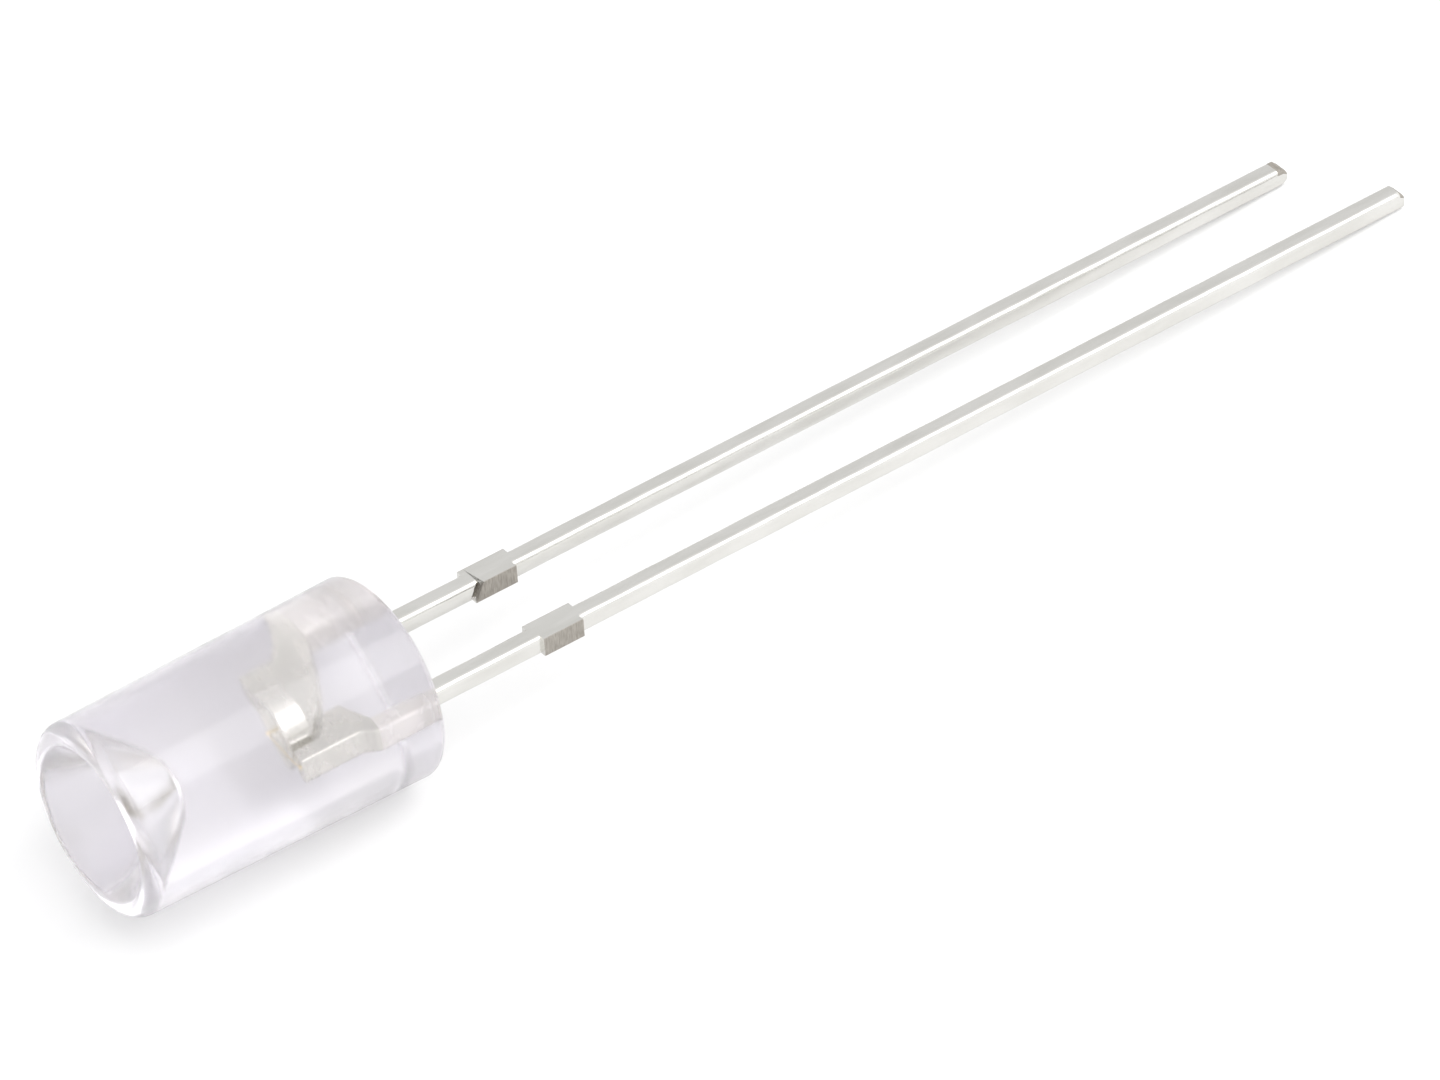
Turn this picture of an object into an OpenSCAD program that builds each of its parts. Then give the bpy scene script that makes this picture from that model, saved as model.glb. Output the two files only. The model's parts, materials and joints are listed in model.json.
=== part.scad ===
// Clear through hole LED: a tapered round epoxy body with a cone-shaped hollow in its front,
// moulded around two stamped leads. It lies at rest on its base rim and on both lead tips.
// Lengths are in millimetres. The pieces are drawn with the base plane at x = 0, the body
// towards -x and the leads towards +x, and at_rest() then lays them down.

/* [Body] */
// Diameter of the clear body at its base
body_base_d = 5; // [4.8:0.05:6]
// Diameter of the clear body at its front, a little less so that it leaves its mould
body_front_d = 4.78; // [4.6:0.02:5]
// Length of the body from its base to its front
body_len = 8; // [6.5:0.1:12]
// Radius of the rounded edge at the base
base_edge_r = 0.2; // [0.1:0.05:0.5]
// Radius of the rounded edge at the front
front_edge_r = 0.35; // [0.1:0.05:0.5]
// Diameter of the mouth of the hollow in the front
hollow_d = 3.9; // [2:0.1:3.9]
// Full angle of the hollow's cone
hollow_angle = 78; // [70:1:120]
// Radius of the rounded bottom of the hollow
hollow_tip_r = 0.75; // [0.1:0.05:0.9]

/* [Leads] */
// Distance between the centre lines of the two leads
lead_pitch = 2.54; // [2.3:0.01:3]
// Width of a lead, across the sheet
lead_w = 0.5; // [0.4:0.02:0.6]
// Thickness of the sheet that the leads are stamped from
lead_t = 0.5; // [0.4:0.02:0.6]
// Radius that the tinning gives to the long edges of a lead
lead_edge_r = 0.12; // [0.03:0.01:0.15]
// Length of the long lead, the anode, from the base
anode_len = 28.5; // [18:0.5:35]
// How much shorter the other lead is, the cathode
cathode_short = 1.5; // [0.5:0.1:3]
// Depth of the bevels that the cutter leaves on a lead's tip
tip_bevel = 0.12; // [0.04:0.01:0.18]

/* [Tie bar stubs] */
// Distance from the base to the stubs of the cut tie bar
stub_from = 3.2; // [1:0.1:10]
// Length of a stub along the lead
stub_len = 1.3; // [0.8:0.1:2]
// How far a stub stands out on each side of its lead
stub_out = 0.1; // [0.03:0.01:0.2]

/* [Heads inside the body] */
// Distance from the base to the front of both heads
head_front = 3.4; // [3:0.1:4]
// Length of plain lead inside the body
stem_len = 1.4; // [1:0.1:1.5]
// Distance from the body's axis to the outer side of the anvil, the head of the cathode lead
anvil_out = 0.9; // [0.74:0.02:1]
// Distance from the body's axis to the anvil's inner side
anvil_in = 0.7; // [0.66:0.02:0.76]
// Length of the anvil's outer side
anvil_outer_len = 0.95; // [0.7:0.05:1.1]
// Length of the anvil's inner side, which faces the post
anvil_inner_len = 0.6; // [0.4:0.05:0.7]
// Run of the slope behind the anvil's inner side
anvil_slope = 0.62; // [0.4:0.02:0.7]
// Gap between the anvil and the post, the head of the anode lead
head_gap = 0.18; // [0.12:0.01:0.24]
// Run of the slope of the post's flag
post_slope = 0.5; // [0.3:0.02:0.6]

/* [Chip cup] */
// Diameter of the cup's mouth
cup_d = 0.9; // [0.7:0.05:1]
// Diameter of the cup's floor
cup_floor_d = 0.5; // [0.44:0.02:0.6]
// Depth of the cup
cup_depth = 0.35; // [0.25:0.05:0.45]
// Width of the rim around the cup's mouth
cup_rim = 0.15; // [0.08:0.01:0.2]
// How far the cup's rim stands out in front of the anvil
rim_out = 0.04; // [0.02:0.01:0.1]
// Thickness of metal under the cup's floor
cup_under = 0.3; // [0.2:0.05:0.4]

/* [Chip and wire] */
// Side of the square light-emitting chip
die_w = 0.25; // [0.2:0.01:0.3]
// Height of the chip
die_h = 0.15; // [0.1:0.01:0.2]
// Thickness of the silver-filled glue under the chip
glue_t = 0.02; // [0.01:0.005:0.04]
// Diameter of the glue spot
glue_d = 0.4; // [0.36:0.01:0.42]
// Diameter of the gold bond wire
wire_d = 0.025; // [0.02:0.005:0.04]
// Diameter of the flattened balls at the ends of the wire
ball_d = 0.1; // [0.07:0.01:0.12]
// Height of the flattened balls
ball_h = 0.03; // [0.03:0.005:0.05]
// Height of the wire's straight neck above the chip
neck_h = 0.35; // [0.3:0.05:0.6]
// Diameter of the neck, which is a little thicker than the wire
neck_d = 0.045; // [0.044:0.002:0.06]

/* [Hidden] */
$fn = 96;

base_r = body_base_d / 2;
front_r = body_front_d / 2;
taper = atan((base_r - front_r) / body_len);

// Centres of the two edge roundings, each tangent to its flat face and to the tapered side
base_round_x = -base_edge_r;
base_round_r = base_r - base_edge_r * tan(taper) - base_edge_r / cos(taper);
front_round_x = front_edge_r - body_len;
front_round_r = front_r + front_edge_r * tan(taper) - front_edge_r / cos(taper);

// The hollow is a cone whose point is rounded by a ball that touches it all round
hollow_half = hollow_angle / 2;
hollow_point_x = hollow_d / 2 / tan(hollow_half) - body_len;
hollow_ball_x = hollow_point_x - hollow_tip_r / sin(hollow_half);

// The cathode lead lies at +y and the anode lead at -y
lead_y = lead_pitch / 2;
cathode_len = anode_len - cathode_short;
lead_in = lead_y - lead_w / 2;
lead_out = lead_y + lead_w / 2;
post_in = anvil_in + head_gap;
anvil_heel_x = anvil_inner_len - head_front;
post_heel_x = anvil_heel_x + head_gap * tan(22.5);
shoulder_run = 0.25;
flag_run = 0.45;
overlap = 0.05;
arc_steps = 8;

boss_d = cup_d + 2 * cup_rim;
boss_len = cup_depth + cup_under;
cup_floor_x = cup_depth - head_front;

// The wire's plane has the distance from the chip towards the post as its first number
// and the height in front of both heads as its second
die_top = glue_t + die_h - cup_depth;
kink = [0, die_top + neck_h];
stitch = [(lead_y + post_in) / 2, ball_h / 2];
fall = stitch - kink;

// At rest the rim of the base and both tips touch the surface at z = 0
mean_len = anode_len - cathode_short / 2;
rest_tilt = atan((base_r - lead_t / 2) / (mean_len + base_edge_r));
rest_roll = asin(tan(rest_tilt) * cathode_short / lead_pitch);
rest_high = base_round_r * cos(rest_tilt) + base_edge_r * (1 - sin(rest_tilt));
reach_front = -front_round_x * cos(rest_tilt) + front_round_r * sin(rest_tilt) + front_edge_r;
reach_back = anode_len * cos(rest_tilt) + lead_t / 2 * sin(rest_tilt);

module at_rest() {
    translate([(reach_front - reach_back) / 2, 0, rest_high])
        rotate([-rest_roll, rest_tilt, 0])
            children();
}

// Turns a shape that was drawn along +z so that it runs along +x
module along_x() {
    rotate([0, 90, 0])
        children();
}

// Points along an arc, from one angle to another
function arc(centre, r, from, to) =
    [for (i = [0 : arc_steps]) let (a = from + (to - from) * i / arc_steps)
        centre + r * [cos(a), sin(a)]];

// Half outlines have the radius first and the place along the axis second
module body_solid() {
    rotate_extrude()
        polygon([
            [0, 0],
            each arc([base_round_r, base_round_x], base_edge_r, 90, -taper),
            each arc([front_round_r, front_round_x], front_edge_r, -taper, -90),
            [0, -body_len],
        ]);
}

module front_hollow() {
    mouth_x = -body_len - overlap;
    mouth_r = hollow_d / 2 + overlap * tan(hollow_half);
    along_x()
        rotate_extrude()
            polygon([
                [0, mouth_x],
                [mouth_r, mouth_x],
                each arc([0, hollow_ball_x], hollow_tip_r, hollow_half, 90),
            ]);
}

module lead_section() {
    flat_w = lead_w - 2 * lead_edge_r;
    flat_t = lead_t - 2 * lead_edge_r;
    square([lead_t, flat_w], center = true);
    square([flat_t, lead_w], center = true);
    for (a = [-1, 1], b = [-1, 1])
        translate([a * flat_t / 2, b * flat_w / 2])
            circle(r = lead_edge_r);
}

// Straight lead from inside the body to its bevelled tip, with the stub of the tie bar
module lead_bar(length) {
    difference() {
        translate([-stem_len - overlap, 0, 0])
            along_x()
                linear_extrude(height = stem_len + overlap + length)
                    lead_section();
        for (side = [0, 180])
            rotate([side, 0, 0])
                translate([length, 0, lead_t / 2 - tip_bevel])
                    rotate([0, -45, 0])
                        translate([0, -lead_w, 0])
                            cube([lead_t, 2 * lead_w, lead_t]);
    }
    translate([stub_from, -lead_w / 2 - stub_out, -lead_t / 2])
        cube([stub_len, lead_w + 2 * stub_out, lead_t]);
}

module stamped(points) {
    translate([0, 0, -lead_t / 2])
        linear_extrude(height = lead_t)
            polygon(points);
}

module cup_boss() {
    translate([-head_front, 0, 0])
        along_x()
            cylinder(d = boss_d, h = boss_len);
}

module cup_hollow() {
    grow = (cup_d - cup_floor_d) / cup_depth;
    translate([-head_front - overlap, 0, 0])
        along_x()
            cylinder(d1 = cup_d + grow * overlap, d2 = cup_floor_d, h = cup_depth + overlap);
}

module cathode_shape() {
    difference() {
        union() {
            translate([0, lead_y, 0])
                lead_bar(cathode_len);
            stamped([
                [-stem_len, lead_out],
                [-stem_len - shoulder_run, lead_out],
                [anvil_outer_len - head_front, anvil_out],
                [rim_out - head_front, anvil_out],
                [rim_out - head_front, -anvil_in],
                [anvil_heel_x, -anvil_in],
                [anvil_heel_x + anvil_slope, anvil_slope - anvil_in],
                [-stem_len, lead_in],
            ]);
            cup_boss();
        }
        cup_hollow();
    }
}

module anode_shape() {
    translate([0, -lead_y, 0])
        lead_bar(anode_len);
    stamped([
        [-stem_len, -lead_out],
        [-stem_len - flag_run, -lead_y],
        [-head_front, -lead_y],
        [-head_front, -post_in],
        [post_heel_x, -post_in],
        [post_heel_x + post_slope, post_slope - post_in],
        [-stem_len - flag_run, post_slope - post_in],
        [-stem_len, -lead_in],
    ]);
}

// The glue, the chip and the wire each rest on another piece. The room that the epoxy leaves for
// them reaches into that piece by sink, so that no film of epoxy is left between the two.
module glue_shape(sink = 0) {
    translate([cup_floor_x - glue_t, 0, 0])
        along_x()
            cylinder(d = glue_d, h = glue_t + sink);
}

module die_shape(sink = 0) {
    translate([cup_floor_x - glue_t - die_h, -die_w / 2, -die_w / 2])
        cube([die_h + sink, die_w, die_w]);
}

module wire_ball(sink) {
    rotate([-90, 0, 0])
        translate([0, 0, -sink])
            cylinder(d = ball_d, h = ball_h + sink);
}

// The ball on the chip, the neck, the straight run from its kink down to the post and its stitch
module wire_shape(sink = 0) {
    translate([-head_front, 0, 0])
        rotate([0, 180, 90]) {
            translate([0, die_top, 0]) {
                wire_ball(sink);
                rotate([-90, 0, 0])
                    cylinder(d = neck_d, h = neck_h + wire_d);
            }
            translate([kink[0], kink[1], 0])
                rotate([0, 90, atan2(fall[1], fall[0])])
                    cylinder(d = wire_d, h = norm(fall));
            translate([stitch[0], 0, 0])
                wire_ball(sink);
        }
}

module lens_body() {
    color([0.86, 0.85, 0.90, 0.45])
        at_rest()
            difference() {
                along_x()
                    body_solid();
                front_hollow();
                cathode_shape();
                anode_shape();
                glue_shape(overlap);
                die_shape(overlap);
                wire_shape(overlap);
            }
}

module cathode_lead() {
    color([0.74, 0.73, 0.70])
        at_rest()
            cathode_shape();
}

module anode_lead() {
    color([0.74, 0.73, 0.70])
        at_rest()
            anode_shape();
}

module led_die() {
    color([0.45, 0.47, 0.42])
        at_rest()
            die_shape();
}

module die_attach() {
    color([0.70, 0.70, 0.68])
        at_rest()
            glue_shape();
}

module bond_wire() {
    color([0.90, 0.74, 0.35])
        at_rest()
            wire_shape();
}

lens_body();
cathode_lead();
anode_lead();
led_die();
die_attach();
bond_wire();
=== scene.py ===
"""Looks of a clear through hole LED, built on its CAD frame: epoxy cast over two tinned leads."""

import json
import math

import bmesh
import bpy
from mathutils import Matrix, Vector, noise


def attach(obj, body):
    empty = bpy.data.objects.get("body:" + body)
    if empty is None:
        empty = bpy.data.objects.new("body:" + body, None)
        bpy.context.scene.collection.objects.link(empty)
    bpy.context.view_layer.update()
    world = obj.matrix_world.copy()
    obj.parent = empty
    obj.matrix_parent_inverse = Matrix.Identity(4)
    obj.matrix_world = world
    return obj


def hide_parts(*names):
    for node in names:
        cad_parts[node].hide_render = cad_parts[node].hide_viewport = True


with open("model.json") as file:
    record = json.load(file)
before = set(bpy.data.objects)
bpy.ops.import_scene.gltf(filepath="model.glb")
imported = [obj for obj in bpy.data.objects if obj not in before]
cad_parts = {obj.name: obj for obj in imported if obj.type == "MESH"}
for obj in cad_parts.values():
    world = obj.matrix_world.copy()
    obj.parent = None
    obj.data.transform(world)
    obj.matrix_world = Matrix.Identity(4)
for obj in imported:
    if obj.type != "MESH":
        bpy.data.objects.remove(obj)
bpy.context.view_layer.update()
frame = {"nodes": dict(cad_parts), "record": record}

MM = 0.001

# The LED's own frame, taken from the record's mounts: the base plane is at x = 0, the body lies
# towards -x, the leads run towards +x, the cathode lead at +y and the anode lead at -y.
mounts = {m["name"]: m for m in frame["record"]["mounts"]}
base = Vector(mounts["seating_face"]["pos_m"])
along = Vector(mounts["seating_face"]["axis"]).normalized()
cathode_tip = Vector(mounts["cathode_pin"]["pos_m"])
anode_tip = Vector(mounts["anode_pin"]["pos_m"])
cathode_len = (cathode_tip - base).dot(along) / MM
anode_len = (anode_tip - base).dot(along) / MM
span = cathode_tip - anode_tip
across = (span - along * span.dot(along)).normalized()
LEAD_Y = span.dot(across) / MM / 2
upward = along.cross(across)
turned = Matrix((along, across, upward)).transposed().to_4x4()
LAID = Matrix.Translation(base) @ turned @ Matrix.Scale(MM, 4)

# Body, in millimetres
BASE_R = 2.5
FRONT_R = 2.39
BODY_LEN = 8.0
BASE_EDGE_R = 0.2
FRONT_EDGE_R = 0.35
HOLLOW_R = 1.95
HOLLOW_HALF_ANGLE = 39
HOLLOW_TIP_R = 0.75
MOUTH_EDGE_R = 0.18
BODY_STEPS = 256
BASE_STEP = 0.06
WALL_STEP = 0.12
BODY_SHARP_ANGLE = 60

# Leads
LEAD_W = 0.5
LEAD_T = 0.5
LEAD_EDGE_R = 0.12
TIP_BEVEL = 0.12
STUB_FROM = 3.2
STUB_TO = 4.5
STUB_OUT = 0.1
STUB_EDGE_R = 0.015
LEAD_STEP = 0.15
CORNER_STEPS = 6
LEAD_SHARP_ANGLE = 40
LEAD_IN = LEAD_Y - LEAD_W / 2
LEAD_OUT = LEAD_Y + LEAD_W / 2
RIPPLE = 0.008
RIPPLE_SEED = 7
RIPPLE_ALONG = 0.9
RIPPLE_ACROSS = 2.2

# How far from the tips the upper face is given the dark cut steel
CATHODE_DARK_TIP = 0.27
ANODE_DARK_TIP = 0.07
UPPER_FACE_FROM = 0.1

# Heads inside the body
HEAD_FRONT = 3.4
STEM_LEN = 1.4
SHOULDER_RUN = 0.25
FLAG_RUN = 0.45
ANVIL_OUT = 0.9
ANVIL_IN = 0.7
ANVIL_OUTER_LEN = 0.95
ANVIL_INNER_LEN = 0.6
ANVIL_SLOPE = 0.62
HEAD_GAP = 0.18
POST_IN = ANVIL_IN + HEAD_GAP
POST_SLOPE = 0.5
RIM_OUT = 0.04
HEAD_EDGE_R = 0.05

# Chip cup, chip and wire
CUP_R = 0.45
CUP_FLOOR_R = 0.25
CUP_DEPTH = 0.35
CUP_RIM = 0.15
CUP_UNDER = 0.3
CUP_STEPS = 64
CUP_OVERLAP = 0.1

# Colours, with the shares of clearness and metal, the ranges of roughness and the bumps in mm
EPOXY_IOR = 1.53
EPOXY_CLEAR = 0.95
EPOXY_ROUGHNESS = (0.14, 0.2)
EPOXY_BUMP = 0.02
EPOXY_COOL = (0.965, 0.94, 1.0)
EPOXY_WARM = (0.98, 0.955, 0.985)
TIN_ROUGHNESS = (0.1, 0.26)
TIN_BUMP = 0.012
TIN_DARK = (0.76, 0.75, 0.715)
TIN_PALE = (0.83, 0.82, 0.79)
PLATE_ROUGHNESS = (0.18, 0.35)
PLATE_BUMP = 0.03
SILVER_METAL = 0.75
SILVER_WARM = (0.76, 0.755, 0.69)
SILVER_PALE = (0.83, 0.815, 0.75)
# The stem's near-white, mostly matt plate is painted light: it lightens the stem, which gets little
# light inside the epoxy
STEM_METAL = 0.2
STEM_PAINTED_WARM = (0.97, 0.94, 0.88)
STEM_PAINTED_PALE = (0.99, 0.965, 0.92)
CUT_METAL = 0.2
CUT_ROUGHNESS = (0.45, 0.7)
CUT_BUMP = 0.02
CUT_DARK = (0.27, 0.25, 0.22)
CUT_BROWN = (0.42, 0.39, 0.35)
DIE_ROUGHNESS = (0.25, 0.4)
DIE_DARK = (0.66, 0.65, 0.6)
DIE_PALE = (0.78, 0.76, 0.7)
GLUE_ROUGHNESS = (0.45, 0.6)
GLUE_DARK = (0.5, 0.5, 0.48)
GLUE_PALE = (0.72, 0.72, 0.7)
GOLD_ROUGHNESS = (0.1, 0.25)
GOLD_DARK = (0.9, 0.76, 0.5)
GOLD_PALE = (0.96, 0.85, 0.62)

# Light, in metres and with 1 as the white of the background
ROOM_LEVEL = 0.78
ROOM_BRIGHT_LEVEL = 1.1
ROOM_BRIGHT_SIDE = (0, -0.9, 0.43)
ROOM_BLEND = 0.2
FLOOR_HALF = 0.6
FLOOR_GREY = 0.69
FLOOR_ROUGHNESS = 0.6
FLOOR_GLOW = 0.24
FLOOR_GLOW_IN_METAL = 0.06
FLOOR_GLOW_IN_EPOXY = 0.02
SOFTBOX_LEVEL = 2.1
SOFTBOX_ELEVATION = 60
SOFTBOX_DISTANCE = 0.315
SOFTBOX_ALONG = 0.14
SOFTBOX_LENGTH = 0.45
SOFTBOX_WIDTH = 0.24

# Camera, placed by the azimuth, elevation and roll at which the photograph was taken
CAMERA_AZIMUTH = -31.69
CAMERA_ELEVATION = 44.08
CAMERA_ROLL = -7.42
CAMERA_AIM = (8.628, -1.12, 0)
CAMERA_DISTANCE = 240
PIXELS_PER_MM = 43.8
IMAGE_WIDTH = 1440
SENSOR = 36


def lay(mesh_object):
    """Takes a piece from the LED's own frame in millimetres to the model's frame in metres."""
    mesh_object.data.transform(LAID)
    return mesh_object


def arc(centre, radius, start, end, steps):
    """Points along an arc in the plane of place and radius, between two angles in degrees."""
    turns = [math.radians(start + (end - start) * i / steps) for i in range(steps + 1)]
    return [(centre[0] + radius * math.cos(t), centre[1] + radius * math.sin(t)) for t in turns]


def new_object(name, verts, faces):
    """An object in the scene, made of the given points and faces."""
    mesh = bpy.data.meshes.new(name)
    mesh.from_pydata(verts, [], faces)
    mesh.validate()
    made = bpy.data.objects.new(name, mesh)
    bpy.context.scene.collection.objects.link(made)
    return made


def shade(mesh_object, sharp_angle):
    """Smooth shading, with the edges past an angle left sharp."""
    bm = bmesh.new()
    bm.from_mesh(mesh_object.data)
    bmesh.ops.recalc_face_normals(bm, faces=bm.faces)
    for face in bm.faces:
        face.smooth = True
    for edge in bm.edges:
        edge.smooth = edge.calc_face_angle(0) < math.radians(sharp_angle)
    bm.to_mesh(mesh_object.data)
    bm.free()


def revolve(profile, steps):
    """A closed surface about the x axis, from (x, radius) points that start and end on the axis.

    The points run from the end at higher x to the end at lower x, so that the faces look outwards.
    """
    verts = [(profile[0][0], 0, 0)]
    for x, r in profile[1:-1]:
        for i in range(steps):
            turn = 2 * math.pi * i / steps
            verts.append((x, r * math.cos(turn), r * math.sin(turn)))
    verts.append((profile[-1][0], 0, 0))
    last = len(verts) - 1
    rings = len(profile) - 2
    faces = []
    for i in range(steps):
        j = (i + 1) % steps
        faces.append((0, 1 + i, 1 + j))
        for k in range(rings - 1):
            a = 1 + k * steps
            b = a + steps
            faces.append((a + i, b + i, b + j, a + j))
        end = 1 + (rings - 1) * steps
        faces.append((end + i, last, end + j))
    return verts, faces


def evenly(start, end, step):
    """Points on a straight line of the outline, without its ends."""
    length = math.dist(start, end)
    count = max(1, round(length / step))
    return [
        (start[0] + (end[0] - start[0]) * i / count, start[1] + (end[1] - start[1]) * i / count)
        for i in range(1, count)
    ]


def body_corners():
    """The rounded corners of the body's outline, from its base to the bottom of the hollow."""
    taper = math.atan((BASE_R - FRONT_R) / BODY_LEN)
    side = 90 - math.degrees(taper)
    base_round_r = BASE_R - BASE_EDGE_R * math.tan(taper) - BASE_EDGE_R / math.cos(taper)
    front_round_r = FRONT_R + FRONT_EDGE_R * math.tan(taper) - FRONT_EDGE_R / math.cos(taper)
    half = math.radians(HOLLOW_HALF_ANGLE)
    point_x = HOLLOW_R / math.tan(half) - BODY_LEN
    mouth_round_r = HOLLOW_R + MOUTH_EDGE_R * math.tan((math.pi / 2 - half) / 2)
    mouth = (MOUTH_EDGE_R - BODY_LEN, mouth_round_r)
    bottom = (point_x - HOLLOW_TIP_R / math.sin(half), 0)
    return [
        arc((-BASE_EDGE_R, base_round_r), BASE_EDGE_R, 0, side, 12),
        arc((FRONT_EDGE_R - BODY_LEN, front_round_r), FRONT_EDGE_R, side, 180, 24),
        arc(mouth, MOUTH_EDGE_R, 180, 270 - HOLLOW_HALF_ANGLE, 12),
        arc(bottom, HOLLOW_TIP_R, 90 - HOLLOW_HALF_ANGLE, 0, 20),
    ]


def make_body():
    """The clear body with the hollow in its front, one closed surface without inner walls."""
    corners = body_corners()
    profile = [(0, 0)] + evenly((0, 0), corners[0][0], BASE_STEP)
    for corner, following in zip(corners, corners[1:]):
        profile += corner + evenly(corner[-1], following[0], WALL_STEP)
    profile += corners[-1]
    profile[-1] = (profile[-1][0], 0)
    verts, faces = revolve(profile, BODY_STEPS)
    body = new_object("epoxy_body", verts, faces)
    shade(body, BODY_SHARP_ANGLE)
    return body


def rounded_section(y_low, y_high, half_t, radius_low, radius_high):
    """A rounded rectangle across the lead, as (y, z) points, always of the same count."""
    points = []
    for turn, y, z, radius in (
        (0, y_high - radius_high, half_t - radius_high, radius_high),
        (90, y_low + radius_low, half_t - radius_low, radius_low),
        (180, y_low + radius_low, radius_low - half_t, radius_low),
        (270, y_high - radius_high, radius_high - half_t, radius_high),
    ):
        points += arc((y, z), radius, turn, turn + 90, CORNER_STEPS)
    return points


def loft(sections):
    """A closed surface through sections of (x, points), with flat ends."""
    count = len(sections[0][1])
    verts = [(x, y, z) for x, points in sections for y, z in points]
    faces = []
    for k in range(len(sections) - 1):
        a = k * count
        b = a + count
        for i in range(count):
            j = (i + 1) % count
            faces.append((a + i, a + j, b + j, b + i))
    faces.append(tuple(reversed(range(count))))
    faces.append(tuple(range(len(verts) - count, len(verts))))
    return verts, faces


def between(table, x):
    """The value at x on a line through (x, value) points in falling order of x."""
    for (x0, v0), (x1, v1) in zip(table, table[1:]):
        if x1 <= x <= x0:
            return v1 if x0 == x1 else v0 + (v1 - v0) * (x0 - x) / (x0 - x1)
    return table[-1][1]


def cathode_outline():
    """The outer and the inner side of the cathode lead inside the body, as (x, y) points."""
    front = RIM_OUT - HEAD_FRONT
    heel = ANVIL_INNER_LEN - HEAD_FRONT
    outer = [
        (0, LEAD_OUT),
        (-STEM_LEN - SHOULDER_RUN, LEAD_OUT),
        (ANVIL_OUTER_LEN - HEAD_FRONT, ANVIL_OUT),
        (front, ANVIL_OUT),
    ]
    inner = [
        (0, LEAD_IN),
        (-STEM_LEN, LEAD_IN),
        (heel + ANVIL_SLOPE, ANVIL_SLOPE - ANVIL_IN),
        (heel, -ANVIL_IN),
        (front, -ANVIL_IN),
    ]
    return outer, inner, front


def anode_outline():
    """The inner and the outer side of the anode lead inside the body, as (x, y) points."""
    heel = ANVIL_INNER_LEN - HEAD_FRONT + HEAD_GAP * math.tan(math.radians(22.5))
    flag = -STEM_LEN - FLAG_RUN
    inner = [
        (0, -LEAD_IN),
        (-STEM_LEN, -LEAD_IN),
        (flag, POST_SLOPE - POST_IN),
        (heel + POST_SLOPE, POST_SLOPE - POST_IN),
        (heel, -POST_IN),
        (-HEAD_FRONT, -POST_IN),
    ]
    outer = [
        (0, -LEAD_OUT),
        (-STEM_LEN, -LEAD_OUT),
        (flag, -LEAD_Y),
        (-HEAD_FRONT, -LEAD_Y),
    ]
    return inner, outer, -HEAD_FRONT


def head_sections(high, low, front):
    """Sections of a lead's head and stem, from the front of the head to the base."""
    stops = sorted({x for x, _ in high + low})
    places = [front]
    for a, b in zip(stops, stops[1:]):
        count = max(1, round((b - a) / LEAD_STEP))
        places += [a + (b - a) * i / count for i in range(1, count + 1)]
    sections = []
    for x in places:
        blend = min(1, max(0, (x + STEM_LEN) / STEM_LEN))
        radius = HEAD_EDGE_R + (LEAD_EDGE_R - HEAD_EDGE_R) * blend
        outline = rounded_section(between(low, x), between(high, x), LEAD_T / 2, radius, radius)
        sections.append((x, outline))
    return sections


def pin_sections(middle, length, near_from, near_to, lower_bevel):
    """Sections of the part of a lead outside the body, with its stub, up to the tip."""
    sections = []
    half = LEAD_W / 2
    for start, end, near_out, far_out in (
        (0, STUB_FROM, 0, 0),
        (STUB_FROM, near_from, 0, STUB_OUT),
        (near_from, near_to, STUB_OUT, STUB_OUT),
        (near_to, STUB_TO, 0, STUB_OUT),
        (STUB_TO, length - TIP_BEVEL, 0, 0),
    ):
        near_r = STUB_EDGE_R if near_out else LEAD_EDGE_R
        far_r = STUB_EDGE_R if far_out else LEAD_EDGE_R
        near, far = middle - half - near_out, middle + half + far_out
        outline = rounded_section(near, far, LEAD_T / 2, near_r, far_r)
        count = max(1, round((end - start) / LEAD_STEP))
        for i in range(1 if start == 0 else 0, count + 1):
            sections.append((start + (end - start) * i / count, outline))
    upper = 1 - TIP_BEVEL / (LEAD_T / 2)
    lower = 1 - lower_bevel / (LEAD_T / 2)
    tip = [(y, z * (upper if z > 0 else lower)) for y, z in outline]
    return sections + [(length, tip)]


def slant_stub(verts, middle, near_from, slant):
    """Leans the body side of a stub's near face, where the shears cut askew."""
    for i, (x, y, z) in enumerate(verts):
        if abs(x - near_from) < 1e-6 and y < middle:
            nearness = min(1, (middle - y) / (LEAD_W / 2))
            verts[i] = (x + slant * nearness * (z / LEAD_T + 0.5), y, z)


def ripple(mesh_object, size):
    """The unevenness of dipped tin, in which every point moves a little with slow noise."""
    for v in mesh_object.data.vertices:
        x, y, z = v.co
        if STUB_FROM - 0.1 < x < STUB_TO + 0.1:
            continue
        where = Vector((x * RIPPLE_ALONG, y * RIPPLE_ACROSS, z * RIPPLE_ACROSS))
        v.co += noise.noise_vector(where) * size


def make_lead(name, outline, middle, length, near_from, near_to, slant, lower_bevel):
    """A lead with its head, stem, stub and tip, as one closed surface."""
    pin = pin_sections(middle, length, near_from, near_to, lower_bevel)
    verts, faces = loft(head_sections(*outline) + pin)
    slant_stub(verts, middle, near_from, slant)
    lead = new_object(name, verts, faces)
    ripple(lead, RIPPLE)
    return lead


def combine(target, tool, operation):
    """Joins a tool to a piece or takes it away from the piece, and removes the tool."""
    boolean = target.modifiers.new(operation, "BOOLEAN")
    boolean.operation = operation
    boolean.solver = "EXACT"
    boolean.object = tool
    bpy.context.view_layer.update()
    evaluated = target.evaluated_get(bpy.context.evaluated_depsgraph_get())
    result = bpy.data.meshes.new_from_object(evaluated)
    target.modifiers.clear()
    target.data = result
    bpy.data.objects.remove(tool)


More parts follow.
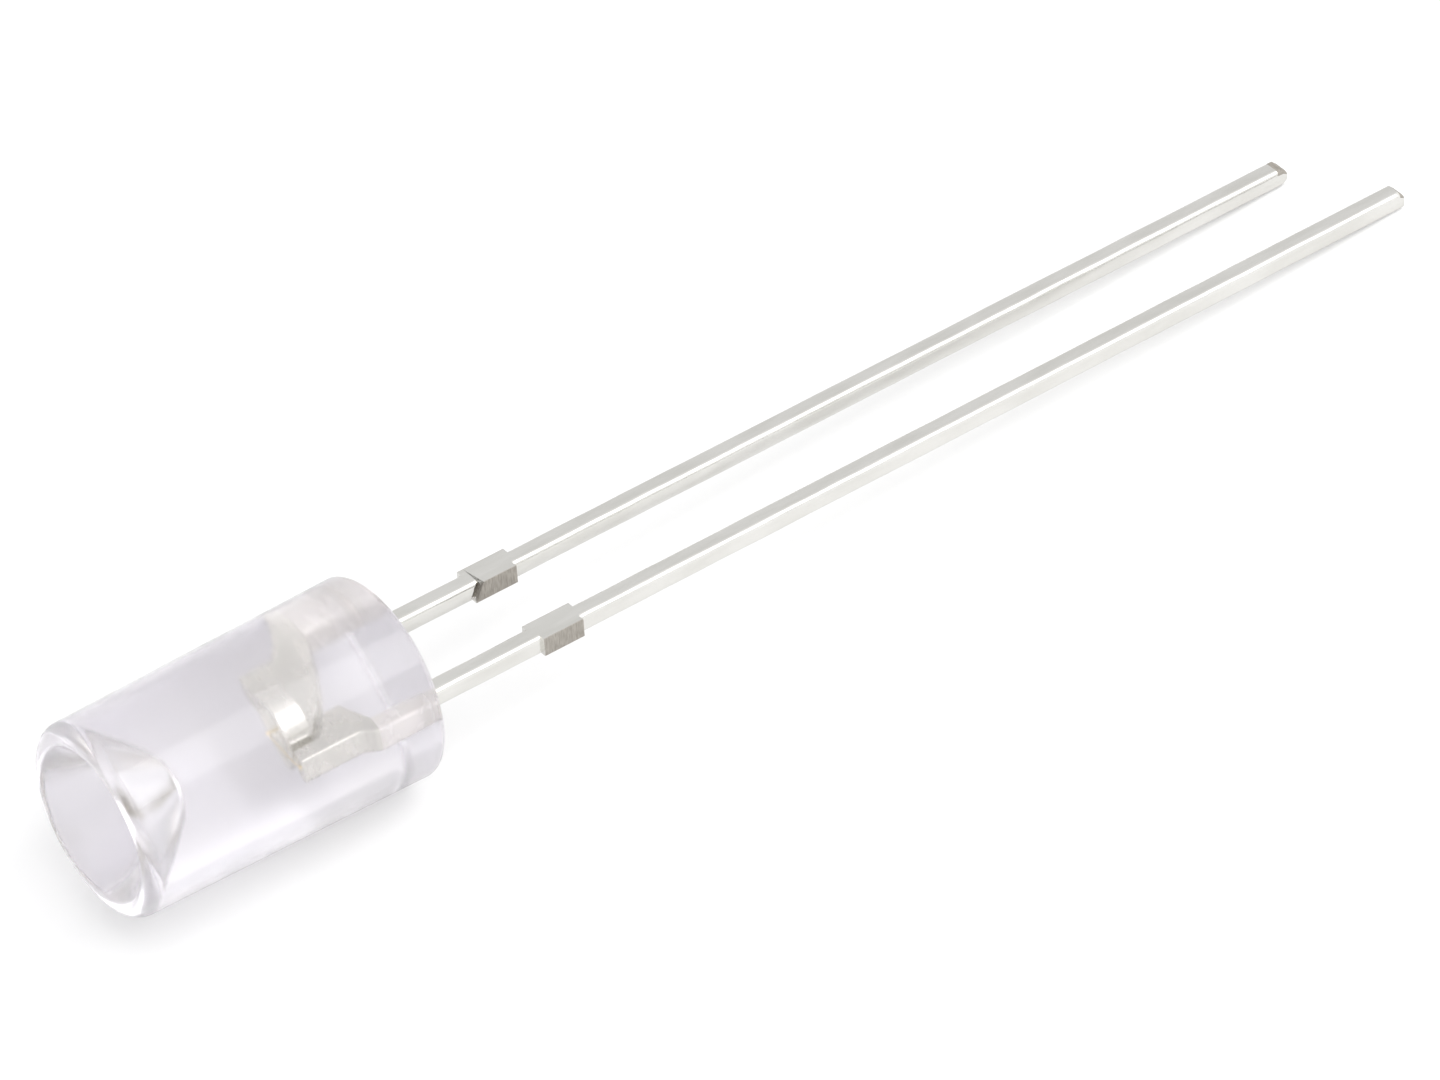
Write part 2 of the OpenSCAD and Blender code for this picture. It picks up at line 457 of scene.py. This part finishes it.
def make_cup(cathode):
    """Puts the round boss in the anvil and sinks the chip's cup into it."""
    front = -HEAD_FRONT
    back = front + CUP_DEPTH + CUP_UNDER
    boss_r = CUP_R + CUP_RIM
    edge = arc((front + HEAD_EDGE_R, boss_r - HEAD_EDGE_R), HEAD_EDGE_R, 90, 180, 6)
    boss = [(back, 0), (back, boss_r)] + edge + [(front, 0)]
    combine(cathode, new_object("boss", *revolve(boss, CUP_STEPS)), "UNION")
    mouth = front - CUP_OVERLAP
    mouth_r = CUP_R + (CUP_R - CUP_FLOOR_R) / CUP_DEPTH * CUP_OVERLAP
    floor = front + CUP_DEPTH
    cup = [(floor, 0), (floor, CUP_FLOOR_R), (mouth, mouth_r), (mouth, 0)]
    combine(cathode, new_object("cup", *revolve(cup, CUP_STEPS)), "DIFFERENCE")


# The ripple of the tin is the same in every run
noise.seed_set(RIPPLE_SEED)

# The photograph shows the near face of each stub a little shorter than the far one, and the
# shorter lead's tip bevelled on both sides, the longer one's almost only above
cathode = make_lead(
    "cathode_metal", cathode_outline(), LEAD_Y, cathode_len,
    near_from=STUB_FROM + 0.02, near_to=STUB_TO - 0.12, slant=0.25, lower_bevel=0.12,
)
make_cup(cathode)
anode = make_lead(
    "anode_metal", anode_outline(), -LEAD_Y, anode_len,
    near_from=STUB_FROM + 0.12, near_to=STUB_TO - 0.08, slant=0, lower_bevel=0.02,
)
epoxy = make_body()
for lead in (cathode, anode):
    shade(lead, LEAD_SHARP_ANGLE)
for piece in (cathode, anode, epoxy):
    lay(piece)


def material(name, **sockets):
    """A new material, its node tree and its shader with some sockets set."""
    made = bpy.data.materials.new(name)
    made.use_nodes = True
    shader = made.node_tree.nodes["Principled BSDF"]
    for key, value in sockets.items():
        shader.inputs[key.replace("_", " ")].default_value = value
    return made, made.node_tree, shader


def local_mm(tree):
    """Places in the LED's own frame in millimetres, for the textures of one material."""
    coords = tree.nodes.new("ShaderNodeTexCoord")
    mapping = tree.nodes.new("ShaderNodeMapping")
    mapping.vector_type = "POINT"
    inverse = LAID.inverted()
    place, turn, size = inverse.decompose()
    mapping.inputs["Location"].default_value = place
    mapping.inputs["Rotation"].default_value = turn.to_euler()
    mapping.inputs["Scale"].default_value = size
    tree.links.new(coords.outputs["Object"], mapping.inputs["Vector"])
    return mapping.outputs["Vector"]


def noise_texture(tree, vector, stretch, scale, detail=2.0):
    """Soft noise, stretched along the axes of the LED's own frame."""
    stretched = tree.nodes.new("ShaderNodeMapping")
    stretched.inputs["Scale"].default_value = stretch
    tree.links.new(vector, stretched.inputs["Vector"])
    texture = tree.nodes.new("ShaderNodeTexNoise")
    texture.inputs["Scale"].default_value = scale
    texture.inputs["Detail"].default_value = detail
    tree.links.new(stretched.outputs["Vector"], texture.inputs["Vector"])
    return texture.outputs["Fac"]


def colours(tree, factor, *stops):
    """A ramp from (place, colour) stops."""
    ramp = tree.nodes.new("ShaderNodeValToRGB")
    for i, (place, colour) in enumerate(stops):
        stop = ramp.color_ramp.elements[i] if i < 2 else ramp.color_ramp.elements.new(place)
        stop.position = place
        stop.color = (*colour, 1)
    tree.links.new(factor, ramp.inputs["Fac"])
    return ramp.outputs["Color"]


def spread(tree, factor, low, high):
    """A number that follows a texture, from one value to another."""
    spread_node = tree.nodes.new("ShaderNodeMapRange")
    spread_node.inputs["To Min"].default_value = low
    spread_node.inputs["To Max"].default_value = high
    tree.links.new(factor, spread_node.inputs["Value"])
    return spread_node.outputs["Result"]


def bump(tree, shader, height, distance_mm):
    """A fine relief that follows a texture."""
    bump_node = tree.nodes.new("ShaderNodeBump")
    bump_node.inputs["Distance"].default_value = distance_mm * MM
    tree.links.new(height, bump_node.inputs["Height"])
    tree.links.new(bump_node.outputs["Normal"], shader.inputs["Normal"])


def tint(tree, shader, factor, low, high):
    """The shader's colour, from one tone to another as a texture says."""
    tree.links.new(colours(tree, factor, low, high), shader.inputs["Base Color"])


def roughen(tree, shader, factor, roughness):
    """The shader's roughness, within a range as a texture says."""
    tree.links.new(spread(tree, factor, *roughness), shader.inputs["Roughness"])


def epoxy_material():
    """Clear, glossy epoxy with a faint lilac tint that varies a little."""
    made, tree, shader = material("clear_epoxy", IOR=EPOXY_IOR)
    shader.inputs["Transmission Weight"].default_value = EPOXY_CLEAR
    place = local_mm(tree)
    cloud = noise_texture(tree, place, (0.6, 1, 1), 0.5)
    tint(tree, shader, cloud, (0.3, EPOXY_COOL), (0.7, EPOXY_WARM))
    roughen(tree, shader, noise_texture(tree, place, (1, 1, 1), 1.5), EPOXY_ROUGHNESS)
    bump(tree, shader, noise_texture(tree, place, (0.5, 1, 1), 0.9, 1.0), EPOXY_BUMP)
    return made


def tin_material():
    """The tin of the leads outside the body, a little cloudy."""
    made, tree, shader = material("tinned_steel", Metallic=1.0)
    place = local_mm(tree)
    cloud = noise_texture(tree, place, (0.5, 2, 2), 1.2, 3.0)
    tint(tree, shader, cloud, (0.35, TIN_DARK), (0.65, TIN_PALE))
    roughen(tree, shader, noise_texture(tree, place, (1, 3, 3), 3.0), TIN_ROUGHNESS)
    bump(tree, shader, noise_texture(tree, place, (0.8, 2, 2), 1.5, 3.0), TIN_BUMP)
    return made


def plating(name, metallic, warm, pale):
    """The plating of a lead inside the epoxy, a little cloudy and uneven."""
    made, tree, shader = material(name, Metallic=metallic)
    place = local_mm(tree)
    cloud = noise_texture(tree, place, (1, 1, 1), 2.5, 3.0)
    tint(tree, shader, cloud, (0.35, warm), (0.65, pale))
    roughen(tree, shader, cloud, PLATE_ROUGHNESS)
    bump(tree, shader, noise_texture(tree, place, (1, 1, 1), 1.2, 1.0), PLATE_BUMP)
    return made


def cut_steel_material():
    """Bare steel with drag marks, where the tie bar was sheared off, and the same dark steel on the
    upper face near the tips.
    """
    made, tree, shader = material("cut_steel", Metallic=CUT_METAL)
    place = local_mm(tree)
    drag = noise_texture(tree, place, (14, 2, 3), 1.5, 4.0)
    tint(tree, shader, drag, (0.3, CUT_DARK), (0.75, CUT_BROWN))
    roughen(tree, shader, drag, CUT_ROUGHNESS)
    bump(tree, shader, drag, CUT_BUMP)
    return made


def plain_metal(name, dark, pale, roughness):
    """One of the small metal surfaces inside the epoxy, with a fine mottle."""
    made, tree, shader = material(name, Metallic=1.0)
    mottle = noise_texture(tree, local_mm(tree), (1, 1, 1), 12.0, 3.0)
    tint(tree, shader, mottle, (0.3, dark), (0.7, pale))
    roughen(tree, shader, mottle, roughness)
    return made


def die_material():
    """The top of the chip, a pale grey contact with a fine grain."""
    made, tree, shader = material("die")
    mottle = noise_texture(tree, local_mm(tree), (1, 1, 1), 20.0, 2.0)
    tint(tree, shader, mottle, (0.3, DIE_DARK), (0.7, DIE_PALE))
    roughen(tree, shader, mottle, DIE_ROUGHNESS)
    return made


def dress_lead(lead, middle, length, dark_tip, finishes):
    """Silver on a lead's head, a near-white plate on its stem that is painted light, tin outside,
    bare steel where cut, and the same dark steel on the upper face near the tip.
    """
    to_local = LAID.inverted()
    silver, painted_light_stem, tin, cut_steel = range(4)
    lead.data.materials.clear()
    for finish in finishes:
        lead.data.materials.append(finish)
    for face in lead.data.polygons:
        x, y, z = to_local @ face.center
        sheared = STUB_FROM < x < STUB_TO and abs(y - middle) > LEAD_W / 2 + STUB_OUT / 2
        # The upper face near the tip gets the dark cut steel
        darkened_tip = x > length - dark_tip and z > UPPER_FACE_FROM
        if x < -STEM_LEN:
            face.material_index = silver
        elif x < 0:
            face.material_index = painted_light_stem
        elif sheared or darkened_tip:
            face.material_index = cut_steel
        else:
            face.material_index = tin


epoxy.data.materials.append(epoxy_material())
finishes = (
    plating("silver_plate", SILVER_METAL, SILVER_WARM, SILVER_PALE),
    # Painted light: the stem's near-white, mostly matt plate lightens it where little light reaches
    # inside the epoxy
    plating("stem_plate_painted_light", STEM_METAL, STEM_PAINTED_WARM, STEM_PAINTED_PALE),
    tin_material(),
    cut_steel_material(),
)
dress_lead(cathode, LEAD_Y, cathode_len, CATHODE_DARK_TIP, finishes)
dress_lead(anode, -LEAD_Y, anode_len, ANODE_DARK_TIP, finishes)

for piece, node, slot in (
    (epoxy, "lens_body", "clear_epoxy"),
    (cathode, "cathode_lead", "tinned_steel"),
    (anode, "anode_lead", "tinned_steel"),
):
    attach(piece, "root")
    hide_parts(node)

for name, made in (
    ("led_die", die_material()),
    ("die_attach", plain_metal("silver_glue", GLUE_DARK, GLUE_PALE, GLUE_ROUGHNESS)),
    ("bond_wire", plain_metal("gold_wire", GOLD_DARK, GOLD_PALE, GOLD_ROUGHNESS)),
):
    node = frame["nodes"][name]
    node.data.materials.clear()
    node.data.materials.append(made)


def make_camera():
    """The camera of the photograph."""
    turn, rise, roll = map(math.radians, (CAMERA_AZIMUTH, CAMERA_ELEVATION, CAMERA_ROLL))
    back = Vector((
        math.sin(turn) * math.cos(rise),
        -math.cos(turn) * math.cos(rise),
        math.sin(rise),
    ))
    level_right = Vector((math.cos(turn), math.sin(turn), 0))
    level_up = back.cross(level_right)
    right = math.cos(roll) * level_right + math.sin(roll) * level_up
    up = math.cos(roll) * level_up - math.sin(roll) * level_right
    data = bpy.data.cameras.new("camera")
    data.sensor_width = SENSOR
    data.lens = PIXELS_PER_MM * CAMERA_DISTANCE * SENSOR / IMAGE_WIDTH
    data.clip_start = 0.001
    data.clip_end = 10
    camera = bpy.data.objects.new("camera", data)
    bpy.context.scene.collection.objects.link(camera)
    place = LAID @ Vector(CAMERA_AIM) + back * CAMERA_DISTANCE * MM
    facing = Matrix((right, up, back)).transposed().to_4x4()
    camera.matrix_world = Matrix.Translation(place) @ facing
    bpy.context.scene.camera = camera


def make_floor():
    """A white floor that keeps the shadow. Its own faint glow makes up for the lamps' low level."""
    half = FLOOR_HALF
    corners = [(-half, -half, 0), (half, -half, 0), (half, half, 0), (-half, half, 0)]
    floor = new_object("floor", corners, [(0, 1, 2, 3)])
    grey = (FLOOR_GREY, FLOOR_GREY, FLOOR_GREY, 1)
    made, tree, shader = material("white_floor", Base_Color=grey, Roughness=FLOOR_ROUGHNESS)
    path = tree.nodes.new("ShaderNodeLightPath")
    glow = None
    for ray, level in (
        ("Is Camera Ray", FLOOR_GLOW),
        ("Is Glossy Ray", FLOOR_GLOW_IN_METAL),
        ("Is Transmission Ray", FLOOR_GLOW_IN_EPOXY),
    ):
        share = tree.nodes.new("ShaderNodeMath")
        share.operation = "MULTIPLY_ADD"
        share.inputs[1].default_value = level
        share.inputs[2].default_value = 0
        tree.links.new(path.outputs[ray], share.inputs[0])
        if glow:
            tree.links.new(glow, share.inputs[2])
        glow = share.outputs[0]
    shader.inputs["Emission Color"].default_value = (1, 1, 1, 1)
    tree.links.new(glow, shader.inputs["Emission Strength"])
    floor.data.materials.append(made)


def make_world():
    """A white room that is brighter on the camera's side and overhead than behind the object."""
    world = bpy.data.worlds.new("studio")
    bpy.context.scene.world = world
    world.use_nodes = True
    tree = world.node_tree
    coords = tree.nodes.new("ShaderNodeTexCoord")
    facing = tree.nodes.new("ShaderNodeVectorMath")
    facing.operation = "DOT_PRODUCT"
    facing.inputs[1].default_value = ROOM_BRIGHT_SIDE
    tree.links.new(coords.outputs["Generated"], facing.inputs[0])
    level = tree.nodes.new("ShaderNodeMapRange")
    level.interpolation_type = "SMOOTHSTEP"
    level.inputs["From Min"].default_value = -ROOM_BLEND
    level.inputs["From Max"].default_value = ROOM_BLEND
    level.inputs["To Min"].default_value = ROOM_LEVEL
    level.inputs["To Max"].default_value = ROOM_BRIGHT_LEVEL
    tree.links.new(facing.outputs["Value"], level.inputs["Value"])
    background = tree.nodes["Background"]
    background.inputs["Color"].default_value = (1, 1, 1, 1)
    tree.links.new(level.outputs["Result"], background.inputs["Strength"])


def make_softbox():
    """A long softbox above the camera's side, along the body so that it draws a band on it."""
    rise = math.radians(SOFTBOX_ELEVATION)
    towards = Vector((0, -math.cos(rise), math.sin(rise)))
    data = bpy.data.lights.new("softbox", "AREA")
    data.shape = "RECTANGLE"
    data.size = SOFTBOX_LENGTH
    data.size_y = SOFTBOX_WIDTH
    data.energy = SOFTBOX_LEVEL * math.pi * SOFTBOX_LENGTH * SOFTBOX_WIDTH
    lamp = bpy.data.objects.new("softbox", data)
    bpy.context.scene.collection.objects.link(lamp)
    side = Vector((1, 0, 0))
    turned = Matrix((side, towards.cross(side), towards)).transposed().to_4x4()
    place = towards * SOFTBOX_DISTANCE + side * SOFTBOX_ALONG
    lamp.matrix_world = Matrix.Translation(place) @ turned


make_camera()
make_floor()
make_world()
make_softbox()

# Light is thrown to and fro many times inside the epoxy
bounces = bpy.context.scene.cycles
bounces.max_bounces = 32
bounces.glossy_bounces = 32
bounces.transmission_bounces = 32

bpy.context.scene.view_settings.view_transform = "Standard"
